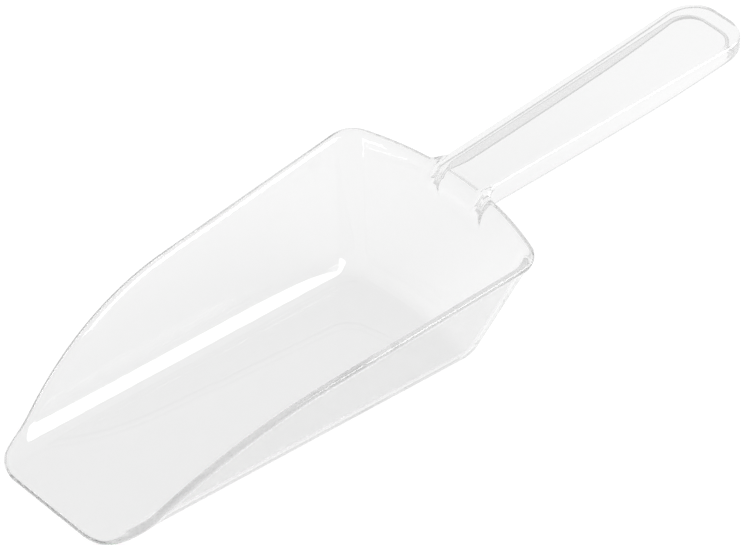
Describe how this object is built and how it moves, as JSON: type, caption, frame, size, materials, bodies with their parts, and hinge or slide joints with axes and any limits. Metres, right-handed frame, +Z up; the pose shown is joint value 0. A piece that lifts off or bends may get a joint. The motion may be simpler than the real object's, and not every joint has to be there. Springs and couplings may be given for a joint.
{
  "type": "ice scoop",
  "caption": "Clear one-piece plastic bar scoop: flat-floored bowl with leaning walls, open sloping front, thickened rim and a flared channel handle.",
  "frame": {"origin": "under the middle of the overall bounding box, in the plane that the flat floor of the bowl rests on", "axes": "+X from the scooping lip to the tip of the handle, +Z up out of the bowl, +Y to the right-hand side of somebody holding the handle; the scoop is symmetric about the XZ plane"},
  "size_m": [0.2312, 0.077, 0.0444],
  "materials": {
    "clear_plastic": "clear polycarbonate, mould-polished"
  },
  "bodies": {
    "root": {"bowl_floor": "clear_plastic", "side_wall_left": "clear_plastic", "side_wall_right": "clear_plastic", "back_wall": "clear_plastic", "rim_bead": "clear_plastic", "front_lip": "clear_plastic", "handle_root": "clear_plastic", "handle_top_plate": "clear_plastic", "handle_skirt_left": "clear_plastic", "handle_skirt_right": "clear_plastic", "handle_tip_wall": "clear_plastic"}
  },
  "joints": []
}
